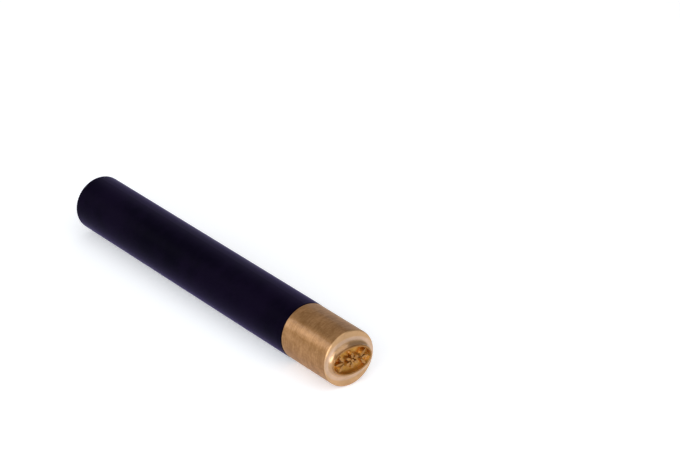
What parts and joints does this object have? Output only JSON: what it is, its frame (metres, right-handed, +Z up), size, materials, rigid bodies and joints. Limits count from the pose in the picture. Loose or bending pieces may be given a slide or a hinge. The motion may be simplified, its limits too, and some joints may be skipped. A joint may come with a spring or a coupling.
{
  "type": "hand stamp",
  "caption": "Mallet-struck hand stamp: round black plastic rod with a screwed-on brass head, whose raised oval die carries an engraved floral ornament.",
  "frame": {"origin": "on the line that the stamp rests on, at half its length", "axes": "+X along the stamp's axis from the struck end to the stamping face, +Z up, +Y to the left of +X"},
  "size_m": [0.1504, 0.02, 0.02],
  "materials": {
    "black_plastic": "satin black acetal, finely turned",
    "brass": "turned and brushed round the axis, engraved field bright",
    "stud_steel": "plain stainless set screw"
  },
  "bodies": {
    "handle": {"handle": "black_plastic"},
    "stud": {"threaded_stud": "stud_steel"},
    "head": {"stamp_head": "brass"}
  },
  "joints": [
    {"name": "stud_advance", "type": "slide", "parent": "handle", "child": "stud", "axis": [1, 0, 0], "range_m": [0, 0.01125]},
    {"name": "head_turn", "type": "hinge", "parent": "stud", "child": "head", "pos_m": [0.04975, 0, 0.01], "axis": [1, 0, 0], "range_deg": [0, 3240]}
  ],
  "couplings": [
    {"joint": "head_turn", "follows": "stud_advance", "rad_per_m": 5026.5}
  ]
}
